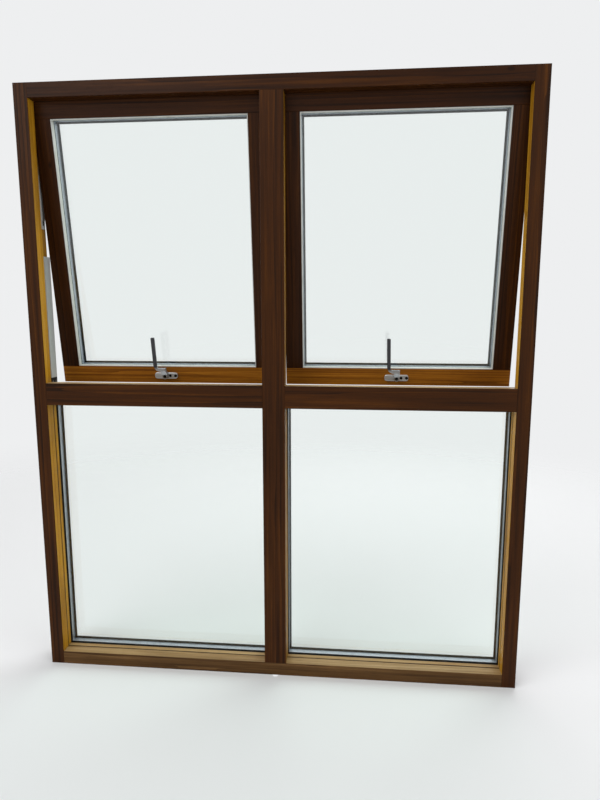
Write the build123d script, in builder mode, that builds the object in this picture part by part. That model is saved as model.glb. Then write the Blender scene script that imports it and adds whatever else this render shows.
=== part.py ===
from build123d import *
from math import acos, ceil, cos, pi, radians, sin, tan
import os

os.makedirs("parts", exist_ok=True)

# A stained timber window: two top-hung sashes over two fixed lights, in millimetres.
# X runs to the right as seen from the room, Y outwards from the room face of the frame,
# and Z up from the underside of the cill. X = 0 is the middle of the mullion.
# The sashes stand ajar, turned by rest_opening about their pivots.

# Timber frame
frame_width = 1618.0
frame_height = 1950.0
frame_depth = 110.0
frame_face = 45.0
mullion_face = 74.0
transom_face = 74.0
transom_height = 975.0
stop_depth = 38.0
arris = 1.5
fixing_radius = 4.0
fixing_y = 54.0
outer_fixings = 1650.0
inner_fixings = 600.0
cill_projection = 34.0
cill_fall = 7.0
drip_radius = 3.0
drip_from_nose = 9.0
transom_fall = 6.0

# How each sash sits in its opening when it is closed
sash_overlap = 13.0
bottom_overlap = 16.0
side_gap = 12.0
head_gap = 7.0
bottom_gap = 10.0
seal_gap = 4.0
seal_thickness = 2.6
seal_width = 8.0
seal_inset = 2.0

# Sash timber
sash_thickness = 58.0
sash_member = 57.0
glazing_step = 15.0
glass_setback = 20.0

# Double glazing
pane = 4.0
cavity = 20.0
edge_clearance = 3.0
spacer_width = 8.0
spacer_sight = 4.0
trim_width = 3.0
trim_setback = 3.0
bead_depth = 21.5
gasket = 3.5
outer_gasket = 3.0
bead_fall = 4.0
mitre_gap = 0.3

# Pivots and stays in the side gaps
rest_opening = 7.5
full_opening = 55.0
pivot_below_top = 10.0
pivot_from_back = 12.0
pivot_pin_radius = 4.0
stay_length = 180.0
stay_width = 14.0
stay_thickness = 2.0
track_width = 20.0
track_height = 6.0
track_wall = 1.5
track_base = 2.0
track_lip = 0.8
track_slot = 11.0
track_end = 28.0
shoe_length = 40.0
sash_bar_width = 18.0
sash_bar_thickness = 2.0
stay_pin_radius = 2.5
running_clearance = 0.1
sliding_clearance = 0.3

# Cheek rail with the bolt keep at its foot
rail_width = 38.0
rail_height = 9.0
rail_wall = 1.6
rail_to_track = 90.5
keep_height = 26.0

# Handle on the bottom rail
handle_height = 27.5
plate_length = 80.0
plate_width = 21.0
plate_thickness = 9.0
plate_corner = 8.0
plate_edge = 1.5
hub_radius = 9.5
hub_length = 14.0
hub_recess_radius = 3.5
hub_recess_depth = 5.0
neck_rise = 33.0
neck_waist = 5.0
lever_standoff = 38.0
lever_thickness = 9.0
lever_width = 12.0
lever_length = 106.0
lever_lean = 2.5
lever_edge = 1.5
crank_radius = 24.0
spindle_side = 7.0
spindle_bore = 5.6
screw_from_spindle = 15.5
screw_head_radius = 3.8
groove_from_spindle = 34.0
groove_width = 1.6
plate_recess = 1.5

# Lock rod in the bottom rail, driven by the handle's pinion
pinion_radius = 9.0
pinion_teeth = 15
pressure_angle = 20.0
tooth_rise = 0.9
tooth_fall = 1.25
backlash = 0.5
pinion_width = 8.0
pocket_clearance = 1.0
rod_width = 10.0
rod_thickness = 3.0
rod_recess = 2.0
rod_from_back = 16.0
bolt_side = 8.0
bolt_length = 28.0
bolt_retreat = 1.0
bolt_end_clearance = 2.0
rack_spare_teeth = 1
cam_neck_radius = 3.0
cam_head_radius = 5.0
cam_head_height = 2.0
cam_spacing = 260.0
rod_beyond_cam = 20.0
keep_wall = 2.5

# Openings and members that follow from these
opening_width = (frame_width - 2 * frame_face - mullion_face) / 2
column_centre = (mullion_face + opening_width) / 2
jamb_edge = frame_width / 2 - frame_face
side_rebate = sash_overlap + side_gap
cheek_edge = jamb_edge + side_rebate
web_half = mullion_face / 2 - side_rebate
low_bottom = frame_face
low_top = transom_height - transom_face / 2
high_bottom = transom_height + transom_face / 2
high_top = frame_height - frame_face
head_floor = high_top + sash_overlap + head_gap
transom_floor = high_bottom - bottom_overlap - bottom_gap

# Sash placing when closed
sash_width = opening_width + 2 * sash_overlap
sash_half = sash_width / 2
sash_front = stop_depth + seal_gap
sash_back = sash_front + sash_thickness
sash_bottom = high_bottom - bottom_overlap
sash_top = high_top + sash_overlap
sash_middle = (sash_bottom + sash_top) / 2
sash_height = sash_top - sash_bottom
sight_width = sash_width - 2 * sash_member
sight_height = sash_height - 2 * sash_member
rebate_member = sash_member - glazing_step
pivot_y = sash_back - pivot_from_back
pivot_z = sash_top - pivot_below_top
sash_swing = (
    Location((0, pivot_y, pivot_z))
    * Location((0, 0, 0), (rest_opening, 0, 0))
    * Location((0, -pivot_y, -pivot_z))
)
columns = (("left", -column_centre), ("right", column_centre))

# Lock placing when the sash is closed: a quarter turn of the pinion shoots the bolt
rod_y = sash_back - rod_from_back
spindle_z = sash_bottom + handle_height
rod_bottom = sash_bottom + rod_recess
rod_top = rod_bottom + rod_thickness
groove_half = rod_width / 2 + 2 * sliding_clearance
tooth_module = 2 * pinion_radius / pinion_teeth
tooth_pitch = pi * tooth_module
tip_radius = pinion_radius + tooth_rise * tooth_module
root_radius = pinion_radius - tooth_fall * tooth_module
bolt_travel = pinion_radius * pi / 2
rack_teeth = 2 * rack_spare_teeth + 1 + ceil(bolt_travel / tooth_pitch)
bolt_z = rod_bottom + bolt_side / 2
bolt_hole = bolt_side + 2 * sliding_clearance
bolt_recess_side = bolt_side + 4 * sliding_clearance
bolt_recess = bolt_travel - bolt_retreat - side_gap + bolt_end_clearance
rack_line = spindle_z - pinion_radius
rack_root = rack_line - tooth_fall * tooth_module
rack_length = rack_teeth * tooth_pitch
rack_middle = ceil(bolt_travel / tooth_pitch) * tooth_pitch / 2
tooth_half = (tooth_pitch - backlash) / 4
pocket_reach = rack_length / 2 + rack_middle + pocket_clearance


def upright(depth):
    """Plane that faces the room at this depth: its x is X and its y is Z."""
    return Plane(origin=(0, depth, 0), x_dir=(1, 0, 0), z_dir=(0, -1, 0))


def swung(plane):
    """The same plane after the sash has swung out to its rest opening."""
    return Plane(sash_swing * plane.location)


def cheek_plane(centre, side, height):
    """Plane this high off a cheek of an opening, facing the sash: its y is Z."""
    x = centre + side * (opening_width / 2 + side_rebate - height)
    return Plane(origin=(x, 0, 0), x_dir=(0, -side, 0), z_dir=(-side, 0, 0))


def on_cheek(side, y, z):
    """Place on a cheek plane of the point that is this far out and this high."""
    return (-side * y, z)


def tooth_flank(radius):
    """Half the thickness of a pinion tooth at this radius, for involute flanks."""
    pressure = radians(pressure_angle)
    base_radius = pinion_radius * cos(pressure)
    here = acos(base_radius / max(radius, base_radius))
    at_pitch = tooth_half / pinion_radius
    return radius * sin(at_pitch + tan(pressure) - pressure - tan(here) + here)


def rack_flank(rise):
    """Half the thickness of a rack tooth this far above its pitch line."""
    return tooth_half - rise * tan(radians(pressure_angle))


# Jambs: full height, with the stop in front and one rebate behind it.
for side, name in ((-1, "left"), (1, "right")):
    with BuildPart() as jamb:
        with BuildSketch(Plane.XY):
            Polygon(
                (side * frame_width / 2, 0),
                (side * jamb_edge, 0),
                (side * jamb_edge, stop_depth),
                (side * cheek_edge, stop_depth),
                (side * cheek_edge, frame_depth),
                (side * frame_width / 2, frame_depth),
                align=None,
            )
            fillet(vertices().filter_by(lambda v: abs(v.X) < jamb_edge + 1), arris)
        extrude(amount=frame_height)
        with BuildSketch(Plane.YZ.offset(side * cheek_edge)):
            for spacing in (outer_fixings, inner_fixings):
                with Locations((fixing_y, (frame_height - spacing) / 2),
                               (fixing_y, (frame_height + spacing) / 2)):
                    Circle(fixing_radius)
        extrude(amount=side * (frame_width / 2 - cheek_edge), mode=Mode.SUBTRACT)
        if side == -1:
            with BuildSketch(Plane.YZ.offset(-cheek_edge)):
                with Locations((rod_y, bolt_z)):
                    Rectangle(bolt_recess_side, bolt_recess_side)
            extrude(amount=-bolt_recess, mode=Mode.SUBTRACT)
    jamb.part.label = f"{name}_jamb"
    export_step(jamb.part, f"parts/{name}_jamb.step")

# Head: between the jambs, its stop hanging in front of the vents.
with BuildPart() as head:
    with BuildSketch(Plane.YZ):
        Polygon(
            (0, frame_height),
            (0, high_top),
            (stop_depth, high_top),
            (stop_depth, frame_height),
            align=None,
        )
        fillet(vertices().filter_by(lambda v: v.Y < high_top + 1), arris)
    extrude(amount=jamb_edge, both=True)
    with BuildSketch(Plane.YZ):
        Polygon(
            (stop_depth, frame_height),
            (stop_depth, head_floor),
            (frame_depth, head_floor),
            (frame_depth, frame_height),
            align=None,
        )
    extrude(amount=cheek_edge, both=True)
head.part.label = "head"
export_step(head.part, "parts/head.step")

# Cill: stop, glazing rebate and a weathered nose with a drip groove under it.
cill_rebate = frame_face - side_rebate
cill_nose = frame_depth + cill_projection
with BuildPart() as cill:
    with BuildSketch(Plane.YZ):
        Polygon((0, 0), (0, low_bottom), (stop_depth, low_bottom), (stop_depth, 0), align=None)
        fillet(vertices().filter_by(lambda v: v.Y > low_bottom - 1), arris)
    extrude(amount=jamb_edge, both=True)
    with BuildSketch(Plane.YZ):
        Polygon(
            (stop_depth, 0),
            (stop_depth, cill_rebate),
            (frame_depth, cill_rebate),
            (frame_depth, 0),
            align=None,
        )
    extrude(amount=cheek_edge, both=True)
    with BuildSketch(Plane.YZ):
        Polygon(
            (frame_depth, 0),
            (frame_depth, cill_rebate),
            (cill_nose, cill_rebate - cill_fall),
            (cill_nose, 0),
            align=None,
        )
        with Locations((cill_nose - drip_from_nose, 0)):
            Circle(drip_radius, mode=Mode.SUBTRACT)
        fillet(vertices().filter_by(lambda v: v.X > cill_nose - 1), arris)
    extrude(amount=frame_width / 2, both=True)
cill.part.label = "cill"
export_step(cill.part, "parts/cill.step")

# Mullion: from cill to head, its web reaching into both rebates.
with BuildPart() as mullion:
    with BuildSketch(Plane.XY.offset(low_bottom)):
        Polygon(
            (-mullion_face / 2, 0),
            (mullion_face / 2, 0),
            (mullion_face / 2, stop_depth),
            (-mullion_face / 2, stop_depth),
            align=None,
        )
        fillet(vertices(), arris)
    extrude(amount=high_top - low_bottom)
    with BuildSketch(Plane.XY.offset(cill_rebate)):
        Polygon(
            (-web_half, stop_depth),
            (web_half, stop_depth),
            (web_half, frame_depth),
            (-web_half, frame_depth),
            align=None,
        )
    extrude(amount=head_floor - cill_rebate)
    with BuildSketch(Plane.YZ.offset(web_half)):
        with Locations((rod_y, bolt_z)):
            Rectangle(bolt_recess_side, bolt_recess_side)
    extrude(amount=-bolt_recess, mode=Mode.SUBTRACT)
mullion.part.label = "mullion"
export_step(mullion.part, "parts/mullion.step")

# Transoms: one to each column, rebated below for glass and above for the sash.
for name, centre in columns:
    with BuildPart() as transom:
        with BuildSketch(Plane.YZ.offset(centre)):
            Polygon(
                (0, low_top),
                (0, high_bottom),
                (stop_depth, high_bottom),
                (stop_depth, low_top),
                align=None,
            )
            fillet(vertices(), arris)
        extrude(amount=opening_width / 2, both=True)
        with BuildSketch(Plane.YZ.offset(centre)):
            Polygon(
                (stop_depth, low_top + side_rebate),
                (stop_depth, transom_floor),
                (sash_back, transom_floor),
                (frame_depth, transom_floor - transom_fall),
                (frame_depth, low_top + side_rebate),
                align=None,
            )
        extrude(amount=opening_width / 2 + side_rebate, both=True)
    transom.part.label = f"{name}_transom"
    export_step(transom.part, f"parts/{name}_transom.step")

# Weather seals: a ring on the back of the stops round each vent opening.
with BuildPart() as seals:
    with BuildSketch(upright(stop_depth)):
        for name, centre in columns:
            with Locations((centre, (high_bottom + high_top) / 2)):
                outer = 2 * (seal_inset + seal_width)
                inner = 2 * seal_inset
                high_height = high_top - high_bottom
                Rectangle(opening_width + outer, high_height + outer)
                Rectangle(opening_width + inner, high_height + inner, mode=Mode.SUBTRACT)
    extrude(amount=-seal_thickness)
seals.part.label = "weather_seals"
export_step(seals.part, "parts/weather_seals.step")

# Fixed lights: timber beads on the room side, the sealed unit, and an outer bead.
bead_back = stop_depth + bead_depth
unit_front = bead_back + gasket
unit_back = unit_front + 2 * pane + cavity
low_height = low_top - low_bottom
low_middle = (low_bottom + low_top) / 2
fixed_unit_width = opening_width + 2 * (side_rebate - edge_clearance)
fixed_unit_height = low_height + 2 * (side_rebate - edge_clearance)

for name, centre in columns:
    light_bottom = low_bottom - side_rebate
    light_top = low_top + side_rebate

    for end, z in (("bottom", light_bottom), ("top", low_top)):
        with BuildPart() as cross_bead:
            with BuildSketch(Plane.YZ.offset(centre)):
                with Locations(((stop_depth + bead_back) / 2, z + side_rebate / 2)):
                    Rectangle(bead_depth, side_rebate)
            extrude(amount=opening_width / 2 + side_rebate, both=True)
        cross_bead.part.label = f"{name}_light_{end}_bead"
        export_step(cross_bead.part, f"parts/{name}_light_{end}_bead.step")

    for side, hand in ((-1, "left"), (1, "right")):
        with BuildPart() as side_bead:
            with BuildSketch(Plane.XY.offset(low_bottom)):
                x = centre + side * (opening_width + side_rebate) / 2
                with Locations((x, (stop_depth + bead_back) / 2)):
                    Rectangle(side_rebate, bead_depth)
            extrude(amount=low_height)
        side_bead.part.label = f"{name}_light_{hand}_bead"
        export_step(side_bead.part, f"parts/{name}_light_{hand}_bead.step")

    for face, depth in (("inner", unit_front), ("outer", unit_back - pane)):
        with BuildPart() as fixed_pane:
            with BuildSketch(upright(depth)):
                with Locations((centre, low_middle)):
                    Rectangle(fixed_unit_width, fixed_unit_height)
            extrude(amount=-pane)
        fixed_pane.part.label = f"{name}_light_{face}_pane"
        export_step(fixed_pane.part, f"parts/{name}_light_{face}_pane.step")

    with BuildPart() as fixed_spacer:
        with BuildSketch(upright(unit_front + pane)):
            with Locations((centre, low_middle)):
                inner_width = opening_width - 2 * spacer_sight
                inner_height = low_height - 2 * spacer_sight
                Rectangle(inner_width + 2 * spacer_width, inner_height + 2 * spacer_width)
                Rectangle(inner_width, inner_height, mode=Mode.SUBTRACT)
        extrude(amount=-cavity)
    fixed_spacer.part.label = f"{name}_light_spacer"
    export_step(fixed_spacer.part, f"parts/{name}_light_spacer.step")

    with BuildPart() as fixed_gasket:
        for depth, thickness in ((bead_back, gasket), (unit_back, outer_gasket)):
            with BuildSketch(upright(depth)):
                with Locations((centre, low_middle)):
                    Rectangle(fixed_unit_width, fixed_unit_height)
                    Rectangle(opening_width, low_height, mode=Mode.SUBTRACT)
            extrude(amount=-thickness)
    fixed_gasket.part.label = f"{name}_light_gasket"
    export_step(fixed_gasket.part, f"parts/{name}_light_gasket.step")

    outer_front = unit_back + outer_gasket
    with BuildPart() as fixed_outer_bead:
        with BuildSketch(upright(outer_front)):
            with Locations((centre, low_middle)):
                Rectangle(opening_width + 2 * side_rebate, low_height + 2 * side_rebate)
                Rectangle(opening_width, low_height, mode=Mode.SUBTRACT)
        extrude(amount=-(frame_depth - outer_front))
        chamfer(edges().group_by(Axis.Y)[-1].filter_by(
            lambda e: abs(e.center().X - centre) < opening_width / 2 + 1
            and abs(e.center().Z - low_middle) < low_height / 2 + 1), bead_fall)
        with BuildSketch(upright(frame_depth)):
            for x in (-1, 1):
                for z in (-1, 1):
                    with Locations((centre + x * (opening_width + side_rebate) / 2,
                                    low_middle + z * (low_height + side_rebate) / 2)):
                        Rectangle(2 * side_rebate, mitre_gap, rotation=45 * x * z)
        extrude(amount=frame_depth - outer_front, mode=Mode.SUBTRACT)
    fixed_outer_bead.part.label = f"{name}_light_outer_bead"
    export_step(fixed_outer_bead.part, f"parts/{name}_light_outer_bead.step")

# Sashes: rails right across, stiles between them, glazed from outside.
glass_front = sash_front + glass_setback
glass_back = glass_front + 2 * pane + cavity
sash_unit_width = sash_width - 2 * (rebate_member + edge_clearance)
sash_unit_height = sash_height - 2 * (rebate_member + edge_clearance)

for name, centre in columns:
    with BuildPart() as top_rail:
        with BuildSketch(swung(Plane.YZ.offset(centre))):
            Polygon(
                (sash_front, sash_top),
                (sash_front, sash_top - sash_member),
                (glass_front, sash_top - sash_member),
                (glass_front, sash_top - rebate_member),
                (sash_back, sash_top - rebate_member),
                (sash_back, sash_top),
                align=None,
            )
            fillet(vertices().sort_by_distance((sash_front, sash_top - sash_member))[0], arris)
        extrude(amount=sash_half, both=True)
    top_rail.part.label = f"{name}_sash_top_rail"
    export_step(top_rail.part, f"parts/{name}_sash_top_rail.step")

    with BuildPart() as bottom_rail:
        with BuildSketch(swung(Plane.YZ.offset(centre))):
            Polygon(
                (sash_front, sash_bottom),
                (sash_front, sash_bottom + sash_member),
                (glass_front, sash_bottom + sash_member),
                (glass_front, sash_bottom + rebate_member),
                (sash_back, sash_bottom + rebate_member),
                (sash_back, sash_bottom),
                align=None,
            )
            fillet(vertices().sort_by_distance((sash_front, sash_bottom + sash_member))[0], arris)
        extrude(amount=sash_half, both=True)
        # Groove for the lock rod along the underside
        with BuildSketch(swung(Plane.YZ.offset(centre))):
            with Locations((rod_y, sash_bottom)):
                Rectangle(2 * groove_half, 2 * (rod_top + sliding_clearance - sash_bottom))
        extrude(amount=sash_half, both=True, mode=Mode.SUBTRACT)
        # Pocket for the pinion and the rack, and the hole for the spindle
        with BuildSketch(swung(upright(rod_y - groove_half))):
            with Locations((centre, spindle_z)):
                Circle(tip_radius + pocket_clearance)
            with Locations((centre, (sash_bottom + spindle_z) / 2)):
                Rectangle(2 * pocket_reach, spindle_z - sash_bottom)
        extrude(amount=-2 * groove_half, mode=Mode.SUBTRACT)
        with BuildSketch(swung(upright(sash_front))):
            with Locations((centre, spindle_z)):
                Circle(spindle_bore)
        extrude(amount=-(rod_y - sash_front), mode=Mode.SUBTRACT)
        # Bore for the bolt at the left end
        with BuildSketch(swung(Plane.YZ.offset(centre - sash_half))):
            with Locations((rod_y, bolt_z)):
                Rectangle(bolt_hole, bolt_hole)
        extrude(amount=bolt_length + bolt_retreat + sliding_clearance, mode=Mode.SUBTRACT)
    bottom_rail.part.label = f"{name}_sash_bottom_rail"
    export_step(bottom_rail.part, f"parts/{name}_sash_bottom_rail.step")

    for side, hand in ((-1, "left"), (1, "right")):
        edge = centre + side * sash_half
        sight = centre + side * sight_width / 2
        step = centre + side * (sight_width / 2 + glazing_step)
        with BuildPart() as stile:
            with BuildSketch(swung(Plane.XY.offset(sash_bottom + sash_member))):
                Polygon(
                    (edge, sash_front),
                    (sight, sash_front),
                    (sight, glass_front),
                    (edge, glass_front),
                    align=None,
                )
                fillet(vertices().sort_by_distance((sight, sash_front))[0], arris)
            extrude(amount=sight_height)
            with BuildSketch(swung(Plane.XY.offset(sash_bottom + rebate_member))):
                Polygon(
                    (edge, glass_front),
                    (step, glass_front),
                    (step, sash_back),
                    (edge, sash_back),
                    align=None,
                )
            extrude(amount=sight_height + 2 * glazing_step)
        stile.part.label = f"{name}_sash_{hand}_stile"
        export_step(stile.part, f"parts/{name}_sash_{hand}_stile.step")

    for face, depth in (("inner", glass_front), ("outer", glass_back - pane)):
        with BuildPart() as sash_pane:
            with BuildSketch(swung(upright(depth))):
                with Locations((centre, sash_middle)):
                    Rectangle(sash_unit_width, sash_unit_height)
            extrude(amount=-pane)
        sash_pane.part.label = f"{name}_sash_{face}_pane"
        export_step(sash_pane.part, f"parts/{name}_sash_{face}_pane.step")

    with BuildPart() as sash_spacer:
        with BuildSketch(swung(upright(glass_front + pane))):
            with Locations((centre, sash_middle)):
                inner_width = sight_width - 2 * spacer_sight
                inner_height = sight_height - 2 * spacer_sight
                Rectangle(inner_width + 2 * spacer_width, inner_height + 2 * spacer_width)
                Rectangle(inner_width, inner_height, mode=Mode.SUBTRACT)
        extrude(amount=-cavity)
    sash_spacer.part.label = f"{name}_sash_spacer"
    export_step(sash_spacer.part, f"parts/{name}_sash_spacer.step")

    with BuildPart() as trim:
        with BuildSketch(swung(upright(sash_front + trim_setback))):
            with Locations((centre, sash_middle)):
                Rectangle(sight_width, sight_height)
                Rectangle(sight_width - 2 * trim_width, sight_height - 2 * trim_width,
                          mode=Mode.SUBTRACT)
        extrude(amount=-(glass_setback - trim_setback))
    trim.part.label = f"{name}_sash_glazing_trim"
    export_step(trim.part, f"parts/{name}_sash_glazing_trim.step")

    with BuildPart() as outer_bead:
        with BuildSketch(swung(upright(glass_back))):
            with Locations((centre, sash_middle)):
                Rectangle(sight_width + 2 * glazing_step, sight_height + 2 * glazing_step)
                Rectangle(sight_width, sight_height, mode=Mode.SUBTRACT)
        extrude(amount=-(sash_back - glass_back))
        with BuildSketch(swung(upright(sash_back))):
            for x in (-1, 1):
                for z in (-1, 1):
                    with Locations((centre + x * (sight_width + glazing_step) / 2,
                                    sash_middle + z * (sight_height + glazing_step) / 2)):
                        Rectangle(2 * glazing_step, mitre_gap, rotation=45 * x * z)
        extrude(amount=sash_back - glass_back, mode=Mode.SUBTRACT)
    outer_bead.part.label = f"{name}_sash_outer_bead"
    export_step(outer_bead.part, f"parts/{name}_sash_outer_bead.step")

# Stay tracks: a lipped channel on every cheek, its solid top end bored for the sash pivot.
shoe_closed = 2 * stay_length
shoe_open = 2 * stay_length * cos(radians(full_opening))
track_bottom = pivot_z - shoe_closed - track_end
track_top = pivot_z + pivot_below_top
channel_top = pivot_z - shoe_open + track_end
channel_width = track_width - 2 * track_wall
with BuildPart() as tracks:
    for name, centre in columns:
        for side in (-1, 1):
            with BuildSketch(cheek_plane(centre, side, 0)):
                with Locations(on_cheek(side, pivot_y, (track_bottom + track_top) / 2)):
                    Rectangle(track_width, track_top - track_bottom)
            extrude(amount=track_height)
            with BuildSketch(cheek_plane(centre, side, track_base)):
                with Locations(on_cheek(side, pivot_y, (track_bottom + channel_top) / 2)):
                    Rectangle(channel_width, channel_top - track_bottom)
            extrude(amount=track_height - track_base - track_lip, mode=Mode.SUBTRACT)
            with BuildSketch(cheek_plane(centre, side, track_base)):
                with Locations(on_cheek(side, pivot_y, (track_bottom + channel_top) / 2)):
                    Rectangle(track_slot, channel_top - track_bottom)
                with Locations(on_cheek(side, pivot_y, pivot_z)):
                    Circle(pivot_pin_radius + running_clearance)
            extrude(amount=track_height, mode=Mode.SUBTRACT)
tracks.part.label = "stay_tracks"
export_step(tracks.part, "parts/stay_tracks.step")

# Cheek rails: a grey channel on the left cheek of each vent, above its bolt keep.
rail_back = frame_depth
rail_middle = rail_back - rail_width / 2
rail_foot = rod_bottom + keep_height - keep_wall
with BuildPart() as rails:
    for name, centre in columns:
        with BuildSketch(Plane.XY.offset(rail_foot)):
            x = centre - opening_width / 2 - side_rebate
            Polygon(
                (x, rail_back),
                (x + rail_height, rail_back),
                (x + rail_height, rail_back - rail_width),
                (x, rail_back - rail_width),
                align=None,
            )
            Polygon(
                (x, rail_back - rail_wall),
                (x + rail_height - rail_wall, rail_back - rail_wall),
                (x + rail_height - rail_wall, rail_back - rail_width + rail_wall),
                (x, rail_back - rail_width + rail_wall),
                align=None,
                mode=Mode.SUBTRACT,
            )
        extrude(amount=track_bottom - rail_to_track - rail_foot)
rails.part.label = "cheek_rails"
export_step(rails.part, "parts/cheek_rails.step")

# Lock keeps: a bolt keep on each left cheek and two cam keeps on each transom.
cam_neck_bottom = sash_bottom - bottom_gap + keep_wall + cam_head_height + 2 * sliding_clearance
cam_head_bottom = cam_neck_bottom - cam_head_height
cam_keep_length = bolt_travel + 2 * cam_head_radius
cam_keep_top = cam_neck_bottom + keep_wall
cam_keep_width = 2 * cam_head_radius + 2 * keep_wall + 2 * sliding_clearance
with BuildPart() as keeps:
    for name, centre in columns:
        with BuildSketch(cheek_plane(centre, -1, 0)):
            with Locations(on_cheek(-1, rail_middle, rail_foot - keep_height / 2)):
                Rectangle(rail_width, keep_height)
            with Locations(on_cheek(-1, rod_y, bolt_z)):
                Rectangle(bolt_recess_side, bolt_recess_side, mode=Mode.SUBTRACT)
        extrude(amount=rail_height)
        for cam in (-1, 1):
            cam_x = centre + cam * cam_spacing / 2
            keep_right = cam_x - cam_head_radius - sliding_clearance
            with BuildSketch(Plane.XY.offset(transom_floor)):
                with Locations((keep_right - cam_keep_length / 2, rod_y)):
                    Rectangle(cam_keep_length, cam_keep_width)
            extrude(amount=cam_keep_top - transom_floor)
            with BuildSketch(Plane.XY.offset(cam_head_bottom - sliding_clearance)):
                with Locations((keep_right, rod_y)):
                    Rectangle(2 * (cam_keep_length - keep_wall),
                              2 * (cam_head_radius + sliding_clearance))
            extrude(amount=cam_head_height + 2 * sliding_clearance, mode=Mode.SUBTRACT)
            with BuildSketch(Plane.XY.offset(cam_head_bottom)):
                with Locations((keep_right, rod_y)):
                    Rectangle(2 * (cam_keep_length - keep_wall),
                              2 * (cam_neck_radius + sliding_clearance))
            extrude(amount=keep_height, mode=Mode.SUBTRACT)
keeps.part.label = "lock_keeps"
export_step(keeps.part, "parts/lock_keeps.step")

# Moving hardware of each sash
hub_back = sash_front - plate_thickness - sliding_clearance
bar_height = side_gap - sash_bar_thickness
arm_bottom = track_height + 2 * sliding_clearance
arm_top = arm_bottom + stay_thickness
shoe_half_width = channel_width / 2 - sliding_clearance
shoe_bottom = track_base + sliding_clearance
shoe_top = track_height - track_lip - sliding_clearance
shoe_z = pivot_z - shoe_closed * cos(radians(rest_opening))


def arm_plane(centre, side, height):
    """Cheek plane turned about the shoe pivot, so that its y runs along the stay arm."""
    lean = Location((0, pivot_y, shoe_z)) * Location((0, 0, 0), (-rest_opening, 0, 0))
    lean = lean * Location((0, -pivot_y, -shoe_z))
    return Plane(lean * cheek_plane(centre, side, height).location)


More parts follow.
